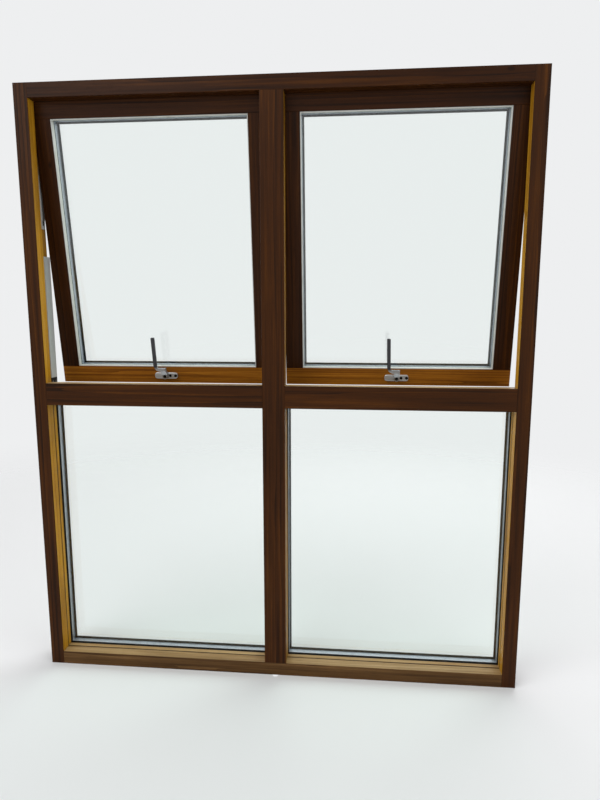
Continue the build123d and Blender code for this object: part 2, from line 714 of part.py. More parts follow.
for name, centre in columns:
    # Side bars: screwed to the sash edges, with the pivot pin and the stay pin
    with BuildPart() as bars:
        for side in (-1, 1):
            with BuildSketch(swung(cheek_plane(centre, side, bar_height))):
                top = pivot_z + pivot_below_top
                bottom = pivot_z - stay_length - sash_bar_width / 2
                with Locations(on_cheek(side, pivot_y, (top + bottom) / 2)):
                    Rectangle(sash_bar_width, top - bottom)
            extrude(amount=sash_bar_thickness)
            with BuildSketch(swung(cheek_plane(centre, side, track_base + sliding_clearance))):
                with Locations(on_cheek(side, pivot_y, pivot_z)):
                    Circle(pivot_pin_radius)
            extrude(amount=bar_height - track_base - sliding_clearance)
            with BuildSketch(swung(cheek_plane(centre, side, arm_bottom))):
                with Locations(on_cheek(side, pivot_y, pivot_z - stay_length)):
                    Circle(stay_pin_radius)
            extrude(amount=bar_height - arm_bottom)
    bars.part.label = f"{name}_sash_pivot_bars"
    export_step(bars.part, f"parts/{name}_sash_pivot_bars.step")

    # Stay arms: one in each side gap, with an eye at each end
    with BuildPart() as arms:
        for side in (-1, 1):
            with BuildSketch(arm_plane(centre, side, arm_bottom)):
                with Locations(on_cheek(side, pivot_y, shoe_z + stay_length / 2)):
                    SlotCenterToCenter(stay_length, stay_width, rotation=90)
                for z in (shoe_z, shoe_z + stay_length):
                    with Locations(on_cheek(side, pivot_y, z)):
                        Circle(stay_pin_radius + running_clearance, mode=Mode.SUBTRACT)
            extrude(amount=stay_thickness)
    arms.part.label = f"{name}_stay_arms"
    export_step(arms.part, f"parts/{name}_stay_arms.step")

    # Shoes: sliding blocks in the tracks, each with the pin of its arm
    with BuildPart() as shoes:
        for side in (-1, 1):
            with BuildSketch(cheek_plane(centre, side, shoe_bottom)):
                with Locations(on_cheek(side, pivot_y, shoe_z)):
                    Rectangle(2 * shoe_half_width, shoe_length)
                chamfer(vertices(), stay_pin_radius)
            extrude(amount=shoe_top - shoe_bottom)
            with BuildSketch(cheek_plane(centre, side, shoe_top)):
                with Locations(on_cheek(side, pivot_y, shoe_z)):
                    Circle(stay_pin_radius)
            extrude(amount=arm_top - shoe_top)
    shoes.part.label = f"{name}_stay_shoes"
    export_step(shoes.part, f"parts/{name}_stay_shoes.step")

    # Handle plate: long and low, bored for the spindle, with the recess of its screw and a
    # short groove at the right
    with BuildPart() as plate:
        with BuildSketch(swung(upright(sash_front))):
            with Locations((centre, spindle_z)):
                RectangleRounded(plate_length, plate_width, plate_corner)
        extrude(amount=plate_thickness)
        chamfer(faces().sort_by(Axis.Y)[0].edges(), plate_edge)
        with BuildSketch(swung(upright(sash_front))):
            with Locations((centre, spindle_z)):
                Circle(spindle_bore)
        extrude(amount=plate_thickness, mode=Mode.SUBTRACT)
        with BuildSketch(swung(upright(sash_front - plate_thickness + plate_recess))):
            with Locations((centre + screw_from_spindle, spindle_z)):
                Circle(screw_head_radius)
            with Locations((centre + groove_from_spindle, spindle_z)):
                Rectangle(groove_width, plate_width / 2)
        extrude(amount=2 * plate_recess, mode=Mode.SUBTRACT)
    plate.part.label = f"{name}_handle_plate"
    export_step(plate.part, f"parts/{name}_handle_plate.step")

    # Handle: a round hub on the plate, a neck that rises off it, a crank to the left and a
    # straight lever that points up while the window stands open
    hub_face = hub_back - hub_length
    lever_face = sash_front - lever_standoff
    lever_back = lever_face + lever_thickness
    crank_top = spindle_z + neck_rise
    crank_foot = crank_top + lever_width - crank_radius
    lever_left = centre - hub_radius - crank_radius
    lever_right = lever_left + lever_width
    lever_top = crank_top + lever_length
    bend = crank_radius * sin(pi / 4)
    with BuildPart() as handle:
        with BuildSketch(swung(upright(lever_face))):
            with BuildLine():
                Polyline(
                    (centre - hub_radius, crank_foot),
                    (centre + hub_radius, crank_foot),
                    (centre + hub_radius, crank_top),
                    (lever_right, crank_top),
                    (lever_right - lever_lean, lever_top),
                    (lever_left - lever_lean, lever_top),
                    (lever_left, crank_top + lever_width),
                )
                ThreePointArc(
                    (lever_left, crank_top + lever_width),
                    (centre - hub_radius - bend, crank_top + lever_width - bend),
                    (centre - hub_radius, crank_foot),
                )
            make_face()
            chamfer(vertices().group_by(Axis.Y)[-1], lever_edge)
            fillet(vertices().sort_by_distance((lever_right, crank_top))[0], lever_width / 2)
        extrude(amount=-lever_thickness)
        chamfer(faces().filter_by(lambda f: f.normal_at().Y < -0.9).edges(), lever_edge)
        with BuildSketch(swung(Plane.YZ.offset(centre))):
            Polygon(
                (hub_back, spindle_z),
                (hub_back, spindle_z + hub_radius),
                (lever_back, crank_foot + neck_waist),
                (lever_back, crank_top),
                (lever_face + lever_edge, crank_top),
                (lever_face + lever_edge, crank_foot),
                (hub_face, spindle_z + neck_waist),
                (hub_face, spindle_z),
                align=None,
            )
        extrude(amount=hub_radius, both=True)
        with BuildSketch(swung(upright(hub_back))):
            with Locations((centre, spindle_z)):
                Circle(hub_radius)
        extrude(amount=hub_length)
        with BuildSketch(swung(upright(hub_face))):
            with Locations((centre, spindle_z)):
                Circle(hub_recess_radius)
        extrude(amount=-hub_recess_depth, mode=Mode.SUBTRACT)
        with BuildSketch(swung(upright(rod_y + pinion_width / 2))):
            with Locations((centre, spindle_z)):
                Rectangle(spindle_side, spindle_side)
        extrude(amount=rod_y + pinion_width / 2 - hub_back)
        # Pinion: tapered teeth round a blank, a gap of them straight below the spindle
        with BuildSketch(swung(upright(rod_y + pinion_width / 2))):
            with Locations((centre, spindle_z)):
                Circle(root_radius)
                with PolarLocations(0, pinion_teeth, start_angle=90):
                    Polygon(
                        (0, -tooth_flank(root_radius)),
                        (root_radius, -tooth_flank(root_radius)),
                        (pinion_radius, -tooth_flank(pinion_radius)),
                        (tip_radius, -tooth_flank(tip_radius)),
                        (tip_radius, tooth_flank(tip_radius)),
                        (pinion_radius, tooth_flank(pinion_radius)),
                        (root_radius, tooth_flank(root_radius)),
                        (0, tooth_flank(root_radius)),
                        align=None,
                    )
        extrude(amount=pinion_width)
    handle.part.label = f"{name}_handle"
    export_step(handle.part, f"parts/{name}_handle.step")

    # Lock rod: flat bar with the rack under the pinion, its tooth in the pinion's lowest gap,
    # two cams below and a bolt at the left
    with BuildPart() as rod:
        bolt_tip = centre - sash_half + bolt_retreat
        rod_left = bolt_tip + bolt_length - bolt_side / 2
        rod_right = centre + cam_spacing / 2 + rod_beyond_cam
        with BuildSketch(swung(Plane.XY.offset(rod_bottom))):
            with Locations(((rod_left + rod_right) / 2, rod_y)):
                Rectangle(rod_right - rod_left, rod_width)
        extrude(amount=rod_thickness)
        with BuildSketch(swung(upright(rod_y + pinion_width / 2))):
            with Locations((centre + rack_middle, (rod_bottom + rack_root) / 2)):
                Rectangle(rack_length, rack_root - rod_bottom)
            with Locations((centre + rack_middle, rack_line)):
                with GridLocations(tooth_pitch, tooth_pitch, rack_teeth, 1):
                    rise = tooth_rise * tooth_module
                    fall = -tooth_fall * tooth_module
                    Polygon(
                        (-rack_flank(fall), fall),
                        (rack_flank(fall), fall),
                        (rack_flank(rise), rise),
                        (-rack_flank(rise), rise),
                        align=None,
                    )
        extrude(amount=pinion_width)
        with BuildSketch(swung(Plane.YZ.offset(bolt_tip))):
            with Locations((rod_y, bolt_z)):
                Rectangle(bolt_side, bolt_side)
        extrude(amount=bolt_length)
        for cam in (-1, 1):
            cam_x = centre + cam * cam_spacing / 2
            with BuildSketch(swung(Plane.XY.offset(cam_head_bottom))):
                with Locations((cam_x, rod_y)):
                    Circle(cam_head_radius)
            extrude(amount=cam_head_height)
            with BuildSketch(swung(Plane.XY.offset(cam_neck_bottom))):
                with Locations((cam_x, rod_y)):
                    Circle(cam_neck_radius)
            extrude(amount=rod_bottom - cam_neck_bottom)
    rod.part.label = f"{name}_lock_rod"
    export_step(rod.part, f"parts/{name}_lock_rod.step")
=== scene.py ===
"""Dresses a stained timber window with two top-hung sashes over two fixed lights.

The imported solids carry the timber, the glass and the main hardware. This file finishes them, and
adds the seals, gaskets, glazing strips, spacer bars, sealant and screws as surfaces worked out
with numpy. Everything is in metres: X to the right as seen from the room, Y outwards, Z up.
"""

import logging
import math
from dataclasses import dataclass, replace
from enum import Enum
from functools import reduce

import bpy
import numpy as np
from mathutils import Matrix, Vector


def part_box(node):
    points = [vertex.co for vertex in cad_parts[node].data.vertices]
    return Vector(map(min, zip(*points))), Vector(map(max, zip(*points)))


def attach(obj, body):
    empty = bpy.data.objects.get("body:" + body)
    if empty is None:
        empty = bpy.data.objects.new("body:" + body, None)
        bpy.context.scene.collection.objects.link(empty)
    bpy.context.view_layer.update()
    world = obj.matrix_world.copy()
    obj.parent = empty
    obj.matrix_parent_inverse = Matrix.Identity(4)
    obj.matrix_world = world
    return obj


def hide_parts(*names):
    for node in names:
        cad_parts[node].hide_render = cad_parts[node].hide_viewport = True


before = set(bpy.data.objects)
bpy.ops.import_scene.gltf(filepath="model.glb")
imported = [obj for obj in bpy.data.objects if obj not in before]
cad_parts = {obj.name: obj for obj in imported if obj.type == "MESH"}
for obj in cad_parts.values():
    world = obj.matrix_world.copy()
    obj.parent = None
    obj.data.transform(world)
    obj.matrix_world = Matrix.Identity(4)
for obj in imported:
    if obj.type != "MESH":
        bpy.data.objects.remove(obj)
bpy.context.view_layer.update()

log = logging.getLogger("window")
MM = 0.001
SHARP_EDGE = math.radians(38)
ARRIS_EDGE = math.radians(40)
Point = tuple[float, float, float]
Colour = tuple[float, float, float, float]
Socket = bpy.types.NodeSocket
Material = bpy.types.Material


class Run(Enum):
    """The direction that the grain of a member runs in."""

    ACROSS = 0
    UP = 2

    def drawn(self, along: float) -> Point:
        """Scales that draw a pattern out along the grain and leave it as it is across."""
        return (along, 1.0, 1.0) if self is Run.ACROSS else (1.0, 1.0, along)


class Side(Enum):
    """The two columns of the window, as seen from the room."""

    LEFT = "left"
    RIGHT = "right"

    @property
    def x(self) -> float:
        """Where the column's middle is."""
        return -SIZES.column if self is Side.LEFT else SIZES.column


def srgb(*display: int) -> Colour:
    """Linear red, green and blue with an alpha of 1, from display values of 0 to 255."""
    parts = [value / 255 for value in display]
    return (*(p / 12.92 if p <= 0.04045 else ((p + 0.055) / 1.055) ** 2.4 for p in parts), 1.0)


# ---- shader nodes


class Nodes:
    """A node tree under construction, of a material or of the world."""

    def __init__(self, tree: bpy.types.NodeTree) -> None:
        """Empties the tree."""
        self.tree = tree
        tree.nodes.clear()

    def feed(self, socket: Socket, value: object) -> None:
        """Links a socket to another, or sets its value.

        Args:
            socket: The input to feed.
            value: An output socket, a number or a tuple.
        """
        if isinstance(value, Socket):
            self.tree.links.new(value, socket)
        else:
            socket.default_value = value

    def node(self, kind: str, inputs: dict | tuple = (), **settings: object) -> bpy.types.Node:
        """Adds a node.

        Args:
            kind: The node's type after ShaderNode.
            inputs: What feeds its inputs, by name or number, or in order from the first.
            settings: Properties of the node to set.

        Returns:
            The new node.
        """
        made = self.tree.nodes.new("ShaderNode" + kind)
        for key, value in settings.items():
            setattr(made, key, value)
        named = inputs if isinstance(inputs, dict) else dict(enumerate(inputs))
        for key, value in named.items():
            self.feed(made.inputs[key], value)
        return made

    def maths(self, operation: str, first: object, second: object = 0.0) -> Socket:
        """Adds a Math node and gives its value."""
        return self.node("Math", (first, second), operation=operation).outputs[0]

    def weighed(self, *terms: tuple[Socket, float]) -> Socket:
        """Adds up values, each times its weight."""
        parts = [self.maths("MULTIPLY", value, weight) for value, weight in terms]
        return reduce(lambda total, part: self.maths("ADD", total, part), parts)

    def span(self, value: object, low: float, high: float, to_low: float = 0.0,
             to_high: float = 1.0) -> Socket:
        """Maps the range from low to high on another with a smooth, clamped step."""
        return self.node("MapRange", (value, low, high, to_low, to_high),
                         interpolation_type="SMOOTHSTEP").outputs[0]

    def mix(self, share: object, first: object, second: object) -> Socket:
        """Mixes two colours, by the share of the second."""
        return self.node("Mix", {0: share, 6: first, 7: second}, data_type="RGBA").outputs[2]

    def layers(self, colour: object, *over: tuple[Socket, object]) -> Socket:
        """Lays further colours over a first one in order, each given after its share."""
        return reduce(lambda under, top: self.mix(top[0], under, top[1]), over, colour)

    def noise(self, vector: Socket, scale: float, detail: float = 2.0,
              roughness: float = 0.5) -> Socket:
        """Adds a Noise texture and gives its value, from 0 to 1."""
        return self.node("TexNoise", {"Vector": vector, "Scale": scale, "Detail": detail,
                                      "Roughness": roughness}).outputs["Fac"]

    def mapped(self, vector: Socket, location: Point = (0, 0, 0), rotation: Point = (0, 0, 0),
               scale: Point = (1, 1, 1)) -> Socket:
        """Scales, turns and then shifts coordinates."""
        return self.node("Mapping", (vector, location, rotation, scale)).outputs[0]

    def apart(self, vector: Socket) -> tuple[Socket, ...]:
        """The three parts of a vector."""
        return tuple(self.node("SeparateXYZ", (vector,)).outputs)

    def place(self) -> Socket:
        """Object coordinates, in metres in the window's own frame."""
        return self.node("TexCoord").outputs["Object"]

    def normal(self) -> tuple[Socket, ...]:
        """The three parts of the way that the surface faces, in the same frame."""
        return self.apart(self.node("TexCoord").outputs["Normal"])

    def upright(self, middle: Point, lean: float) -> Socket:
        """Coordinates from a point, turned back upright on a piece that leans with its sash."""
        shift = -(Matrix.Rotation(-lean, 3, "X") @ Vector(middle))
        return self.mapped(self.place(), tuple(shift), (-lean, 0, 0))


class Shader(Nodes):
    """A material under construction: a Principled surface and the nodes that feed it."""

    def __init__(self, name: str) -> None:
        """Starts a material with a plain surface.

        Args:
            name: The material's name.
        """
        self.material = bpy.data.materials.new(name)
        self.material.use_nodes = True
        super().__init__(self.material.node_tree)
        self.surface = self.node("BsdfPrincipled")
        self.out = self.node("OutputMaterial", {"Surface": self.surface.outputs[0]})

    def set(self, **values: object) -> None:
        """Feeds the Principled surface's inputs, named with underscores for spaces."""
        for key, value in values.items():
            self.feed(self.surface.inputs[key.replace("_", " ")], value)

    def bump(self, height: Socket, depth: float, strength: float) -> None:
        """Feeds the surface's normal from a height, of which 1 is worth the depth."""
        made = self.node("Bump", {"Strength": strength, "Distance": depth, "Height": height})
        self.set(Normal=made.outputs[0])

    def see_through(self, share: Socket, tint: Colour = (1.0, 1.0, 1.0, 1.0)) -> None:
        """Lets light straight through the surface.

        Args:
            share: How much of the light.
            tint: What tints it.
        """
        clear = self.node("BsdfTransparent", (tint,))
        either = self.node("MixShader", (share, self.surface.outputs[0], clear.outputs[0]))
        self.feed(self.out.inputs["Surface"], either.outputs[0])


# ---- finishes


class Tone(Enum):
    """One stain in lit and shaded copies, each its dark, middle and light colour: the first two
    painted shade, the third the weathered outside, the last three painted sunlight.
    """

    # Painted shade: the two darkest copies.
    DEEP = (srgb(30, 13, 3), srgb(54, 27, 7), srgb(80, 44, 12))
    SHADED = (srgb(34, 16, 3), srgb(61, 31, 6), srgb(88, 49, 11))
    HALF = (srgb(54, 34, 15), srgb(94, 66, 36), srgb(126, 94, 58))
    # Painted sunlight: the three lightest copies.
    BLEACHED = (srgb(104, 59, 14), srgb(148, 90, 23), srgb(184, 120, 38))
    PALE = (srgb(150, 96, 18), srgb(206, 148, 34), srgb(230, 180, 62))
    WEATHERED = (srgb(128, 98, 58), srgb(184, 150, 102), srgb(210, 182, 136))


@dataclass(frozen=True)
class Timber:
    """Stained hardwood: growth rings about a pith beside the member, fibres, pores and gloss.

    The rings are a saw wave of the distance from the pith line, stirred by a noise that is
    stretched along the grain, so that flat faces show long straight and arched figure. Where a
    node is a mitred surround, the pieces that run across read their coordinates turned.
    """

    name: str
    run: Run
    centre: Point
    lean: float
    seed: int
    tone: Tone
    # Share of painted sunlight on the faces into an opening, and which way those faces look.
    reveal: float = 0.0
    reveal_way: int = 0
    mitre: tuple[float, float] | None = None
    joint: float = 0.0
    # Colour and depths of the painted shade along a bead's joint.
    shade_colour: Colour = srgb(30, 20, 11)
    shade_ends: tuple[float, float] = (3.0 * MM, 4.4 * MM)
    pith: float = 55.0 * MM
    relief: float = 0.25 * MM
    ring_scale: float = 46.0
    fibre_scale: float = 700.0
    streak_scale: float = 120.0
    pore_scale: float = 900.0
    patch_scale: float = 9.0
    knot_scale: float = 9.0
    shine: float = 0.34

    def _local(self, s: Shader) -> Socket:
        """Coordinates from the member's middle, upright, with the grain along its run.

        Args:
            s: The material.

        Returns:
            The coordinates' socket.
        """
        local = s.upright(self.centre, self.lean)
        if self.mitre is None:
            return local
        x, y, z = s.apart(local)
        past_side, past_end = (s.maths("SUBTRACT", s.maths("ABSOLUTE", part), half)
                               for part, half in zip((x, z), self.mitre))
        turned = s.node("CombineXYZ", (z, y, x)).outputs[0]
        runs_across = s.maths("GREATER_THAN", past_end, past_side)
        return s.node("Mix", {0: runs_across, 4: local, 5: turned}, data_type="VECTOR").outputs[1]

    def _rings(self, s: Shader, place: Socket) -> Socket:
        """The growth rings' saw wave, from 0 to 1."""
        return s.node("TexWave", {"Vector": place, "Scale": self.ring_scale, "Distortion": 9.0,
                                  "Detail": 3.0, "Detail Scale": 0.35, "Detail Roughness": 0.55},
                      wave_type="RINGS", wave_profile="SAW",
                      rings_direction="XYZ"[self.run.value]).outputs["Fac"]

    def _knots(self, s: Shader, place: Socket) -> Socket:
        """How much of the dark tone is taken by small pin knots, few and scattered."""
        cells = s.node("TexVoronoi", {"Vector": place, "Scale": self.knot_scale})
        return s.span(cells.outputs["Distance"], 0.03, 0.075, 0.85, 0.0)

    def _joint_shade(self, s: Shader, local: Socket) -> Socket:
        """The share of the painted shade in the joint's gap, to 4 mm behind a bead's room side."""
        ends = (end - self.joint for end in self.shade_ends)
        return s.span(s.apart(local)[1], *ends, 0.94, 0.0)

    def _reveals(self, s: Shader, patches: Socket) -> Socket:
        """Where sunlight is painted on the faces that look into an opening.

        A face counts by how squarely it looks upwards on a member that runs across, or sideways
        on an upright one: to the right for a way of 1, to the left for -1 and either for 0. The
        painted sunlight is blotched by the slow noise.

        Args:
            s: The material.
            patches: The slow noise.

        Returns:
            The share of the sunlit tones.
        """
        x, _, z = s.normal()
        if self.run is Run.ACROSS:
            look = z
        elif self.reveal_way:
            look = s.maths("MULTIPLY", x, float(self.reveal_way))
        else:
            look = s.maths("ABSOLUTE", x)
        return s.maths("MULTIPLY", s.span(look, 0.86, 0.98, 0.0, self.reveal),
                       s.span(patches, 0.25, 0.55, 0.7, 1.0))

    def _tones(self, s: Shader, patches: Socket) -> list[Socket]:
        """The dark, middle and light stain, with painted sunlight on the reveals, and weathered
        outside.

        Args:
            s: The material.
            patches: The slow noise.

        Returns:
            The three colours' sockets.
        """
        tones = self.tone.value
        # Painted sunlight: faces that look into the opening take the sunlit tones.
        if self.reveal:
            lit_tones = Tone.PALE if self.run is Run.UP else Tone.WEATHERED
            share = self._reveals(s, patches)
            tones = [s.mix(share, own, pale) for own, pale in zip(tones, lit_tones.value)]
        outside = s.span(s.normal()[1], 0.5, 0.85, 0.0, 0.85)
        return [s.mix(outside, own, aged) for own, aged in zip(tones, Tone.HALF.value)]

    def material(self) -> Material:
        """Builds the finish, each pattern from a place that the seed draws.

        Returns:
            The material.
        """
        s = Shader(self.name)
        chance = np.random.default_rng(self.seed)
        local = self._local(s)
        offset = chance.uniform(-0.02, 0.02, 3)
        offset[self.run.value] = chance.uniform(-1, 1)
        offset[1] += self.pith * chance.choice((-1, 1))
        rings = self._rings(s, s.mapped(local, tuple(offset), scale=self.run.drawn(0.05)))
        fibre_place, pore_place, patch_place, knot_place = (
            s.mapped(local, tuple(chance.uniform(-3, 3, 3)), scale=self.run.drawn(along))
            for along in (0.018, 0.035, 0.25, 0.55))
        fibres = s.noise(fibre_place, self.fibre_scale, 3.0, 0.6)
        streaks = s.noise(fibre_place, self.streak_scale)
        pores = s.span(s.noise(pore_place, self.pore_scale, 1.0), 0.60, 0.72)
        patches = s.noise(patch_place, self.patch_scale)
        figure = s.weighed((rings, 0.27), (streaks, 0.72), (patches, 0.42))
        dark, middle, light = self._tones(s, patches)
        body = s.layers(dark, (s.span(figure, 0.42, 0.72), middle),
                        (s.span(figure, 0.70, 1.0, 0.0, 0.85), light),
                        (s.span(fibres, 0.35, 0.7, 0.3, 0.0), dark),
                        (s.maths("MULTIPLY", pores, 0.5), dark),
                        (self._knots(s, knot_place), dark))
        # Painted shade: a dark band along the bead's joint, where the gap lies in shade.
        if self.joint:
            body = s.mix(self._joint_shade(s, local), body, self.shade_colour)
        s.set(Base_Color=body, Coat_Weight=0.02, Coat_Roughness=0.22, Specular_IOR_Level=0.09,
              Roughness=s.span(figure, 0.3, 1.0, self.shine + 0.14, self.shine))
        s.bump(s.weighed((fibres, 0.5), (pores, -1.0), (rings, 0.3)), self.relief, 0.5)
        return s.material


@dataclass(frozen=True)
class Spacer:
    """Aluminium spacer bar: rolled metal with two rows of small breathing holes in its face."""

    name: str
    middle: Point
    lean: float = 0.0
    row: float = 4.2 * MM
    pitch: float = 3.2 * MM
    hole_half: tuple[float, float] = (0.35 * MM, 0.6 * MM)
    slot_half: tuple[float, float] = (0.5 * MM, 0.7 * MM)
    relief: float = 0.4 * MM
    colour: Colour = srgb(176, 184, 194)
    stain: Colour = srgb(132, 140, 150)
    hole: Colour = srgb(34, 36, 38)

    def _holes(self, s: Shader) -> Socket:
        """Where the holes are, from 0 to 1.

        The depth's distance from each row is small, and the distance along the bar, which is
        x + z because one of them is fixed on each leg, is near a whole number of pitches.

        Args:
            s: The material.

        Returns:
            The holes' socket.
        """
        x, y, z = s.apart(s.upright(self.middle, self.lean))
        off_row = s.maths("SUBTRACT", s.maths("ABSOLUTE", y), self.row)
        in_row = s.span(s.maths("ABSOLUTE", off_row), *self.hole_half, 1.0, 0.0)
        step = s.maths("PINGPONG", s.maths("ADD", x, z), self.pitch / 2)
        return s.maths("MULTIPLY", in_row, s.span(step, *self.slot_half, 1.0, 0.0))

    def material(self) -> Material:
        """Builds the finish.

        Returns:
            The material.
        """
        s = Shader(self.name)
        cloud = s.noise(s.place(), 40.0, 3.0, 0.6)
        holes = self._holes(s)
        s.set(Base_Color=s.layers(self.colour, (s.span(cloud, 0.45, 0.75, 0.0, 0.4), self.stain),
                                  (holes, self.hole)),
              Metallic=0.8, Roughness=s.span(cloud, 0.3, 0.7, 0.34, 0.46))
        s.bump(s.maths("SUBTRACT", 1.0, holes), self.relief, 0.6)
        return s.material


@dataclass(frozen=True)
class ClearGlass:
    """A pane of clear float glass, faintly green, that lets lamps through."""

    name: str = "clear_float_glass"
    face: Colour = (0.985, 0.995, 0.99, 1.0)
    shade: Colour = (0.95, 0.98, 0.965, 1.0)
    body: Colour = (0.30, 0.86, 0.62, 1.0)
    density: float = 5.0

    def material(self) -> Material:
        """Builds the finish.

        Returns:
            The material.
        """
        s = Shader(self.name)
        haze = s.noise(s.place(), 14.0, 4.0, 0.6)
        s.set(Base_Color=self.face, Transmission_Weight=1.0, IOR=1.5,
              Roughness=s.span(haze, 0.55, 0.9, 0.0, 0.005))
        body = s.node("VolumeAbsorption", {"Color": self.body, "Density": self.density})
        s.feed(s.out.inputs["Volume"], body.outputs[0])
        path = s.node("LightPath").outputs
        lit = s.maths("MAXIMUM", path["Is Shadow Ray"], path["Is Diffuse Ray"])
        s.see_through(lit, self.shade)
        return s.material


@dataclass(frozen=True)
class Moulded:
    """Moulded plastic or rubber: one colour with a fine grain, dust in patches and a sheen."""

    name: str
    colour: Colour
    dust: Colour
    rough: float
    grain: float = 1500.0
    relief: float = 0.06 * MM
    dusty: float = 0.25
    shine: float = 0.4

    def material(self) -> Material:
        """Builds the finish.

        Returns:
            The material.
        """
        s = Shader(self.name)
        cloud = s.noise(s.place(), 26.0, 4.0, 0.62)
        s.set(Base_Color=s.mix(s.span(cloud, 0.42, 0.75, 0.0, self.dusty), self.colour, self.dust),
              Roughness=s.span(cloud, 0.3, 0.7, self.rough, min(1.0, self.rough + 0.22)),
              Specular_IOR_Level=self.shine)
        s.bump(s.noise(s.place(), self.grain, 2.0, 0.6), self.relief, 0.6)
        return s.material


@dataclass(frozen=True)
class Metal:
    """Metal with fine drawn or brushed lines along one direction and duller patches, and where
    asked a painted shade in a well and a painted dark reflection on a lever.
    """

    name: str
    colour: Colour
    stain: Colour
    rough: float
    run: Run = Run.ACROSS
    lean: float = 0.0
    lines: float = 1600.0
    relief: float = 0.02 * MM
    dull: float = 0.25
    metallic: float = 1.0
    # The box of a well that takes painted shade, if any.
    well: tuple[Point, tuple[float, ...]] | None = None
    # Where the lever's painted dark reflection begins, and how fast it comes in.
    dark_lever_foot: Point | None = None
    dark_lever_fade: float = 12.0 * MM
    shade_colour: Colour = srgb(24, 23, 22)
    dark_reflection: Colour = srgb(66, 66, 68)

    def _on_dark_lever(self, s: Shader) -> Socket:
        """The share of the lever's painted dark reflection, from 0 at its foot to 1 above it."""
        return s.span(s.apart(s.upright(self.dark_lever_foot, self.lean))[2], 0.0, self.dark_lever_fade)

    def _in_well(self, s: Shader) -> Socket:
        """Where the surface is sunk below a plate's face, and so takes painted shade.

        Args:
            s: The material.

        Returns:
            1 inside the box that the well's middle and half sizes give, upright, else 0.
        """
        middle, half = self.well
        near = [s.maths("LESS_THAN", s.maths("ABSOLUTE", part), reach)
                for part, reach in zip(s.apart(s.upright(middle, self.lean)), half)]
        return reduce(lambda inside, more: s.maths("MULTIPLY", inside, more), near)

    def material(self) -> Material:
        """Builds the finish.

        Returns:
            The material.
        """
        s = Shader(self.name)
        turned = s.mapped(s.place(), rotation=(-self.lean, 0, 0))
        drawn = s.noise(s.mapped(turned, scale=self.run.drawn(0.02)), self.lines, 2.0, 0.6)
        cloud = s.noise(turned, 55.0, 4.0, 0.65)
        tint = s.mix(s.span(cloud, 0.45, 0.78, 0.0, self.dull), self.colour, self.stain)
        # Painted shade in the plate's recesses and on its sunk sides.
        if self.well:
            tint = s.mix(self._in_well(s), tint, self.shade_colour)
        # Painted dark reflection: the lever above its foot is darkened, as if it reflected a dark
        # room.
        if self.dark_lever_foot:
            tint = s.mix(self._on_dark_lever(s), tint, self.dark_reflection)
        rough = s.maths("ADD", s.span(cloud, 0.35, 0.75, self.rough, self.rough + 0.16),
                        s.span(drawn, 0.3, 0.7, -0.04, 0.06))
        s.set(Base_Color=tint, Metallic=self.metallic, Roughness=rough)
        s.bump(drawn, self.relief, 0.5)
        return s.material


# ---- surfaces


@dataclass(frozen=True)
class Patch:
    """A surface as a grid of points, rows by columns, each row closed on itself.

    In a closed one the last row meets the first, and in a capped one a face ends each of them.
    """

    points: np.ndarray
    closed: bool = False
    capped: bool = False

    def faces(self) -> list[np.ndarray]:
        """Corner numbers of the four-sided faces and of each cap, one face a row.

        The sum of the triple products of the faces' fans of triangles is six times the signed
        volume, and where it is negative all faces are turned round, so that they look outwards.

        Returns:
            One array for the four-sided faces and one for each cap.
        """
        rows, columns = self.points.shape[:2]
        index = np.arange(rows * columns).reshape(rows, columns)
        here, down = (index, np.roll(index, -1, 0)) if self.closed else (index[:-1], index[1:])
        quads = np.stack((here, np.roll(here, -1, 1), np.roll(down, -1, 1), down), -1)
        found = [quads.reshape(-1, 4)]
        if self.capped:
            found += [index[:1, ::-1], index[-1:]]
        points = self.points.reshape(-1, 3)
        points = points - points.mean(0)
        volume = 0.0
        for face in found:
            fan = points[face]
            volume += float(np.sum(fan[:, :1] * np.cross(fan[:, 1:-1], fan[:, 2:])))
        return [face[:, ::-1] for face in found] if volume < 0 else found

    def placed(self, move: Matrix) -> "Patch":
        """The same surface after a rigid move."""
        m = np.array(move)
        return replace(self, points=self.points @ m[:3, :3].T + m[:3, 3])


def mesh_piece(name: str, patches: list[Patch], material: Material) -> bpy.types.Object:
    """Makes one object of several surfaces, shaded smoothly up to its sharp edges.

    Args:
        name: The object's name.
        patches: Its surfaces.
        material: Its finish.

    Returns:
        The new object, at the origin.
    """
    faces, start = [], 0
    for patch in patches:
        faces += [face + start for face in patch.faces()]
        start += patch.points.size // 3
    points = np.concatenate([patch.points.reshape(-1, 3) for patch in patches])
    corners = np.concatenate([face.ravel() for face in faces])
    counts = np.concatenate([np.full(len(face), face.shape[1]) for face in faces])
    mesh = bpy.data.meshes.new(name)
    mesh.vertices.add(len(points))
    mesh.vertices.foreach_set("co", points.astype(np.float32).ravel())
    mesh.loops.add(len(corners))
    mesh.loops.foreach_set("vertex_index", corners.astype(np.int32))
    mesh.polygons.add(len(counts))
    mesh.polygons.foreach_set("loop_start", (np.cumsum(counts) - counts).astype(np.int32))
    mesh.polygons.foreach_set("use_smooth", np.full(len(counts), True))
    mesh.update(calc_edges=True)
    mesh.validate()
    mesh.materials.append(material)
    mesh.set_sharp_from_angle(angle=SHARP_EDGE)
    piece = bpy.data.objects.new(name, mesh)
    bpy.context.scene.collection.objects.link(piece)
    return piece


def arc(centre: tuple[float, float], radius: float, first: float, last: float,
        count: int) -> np.ndarray:
    """Points on a circle from one angle to another, in degrees: centre + r * (cos, sin)."""
    angle = np.radians(np.linspace(first, last, count))
    return np.stack((centre[0] + radius * np.cos(angle), centre[1] + radius * np.sin(angle)), -1)


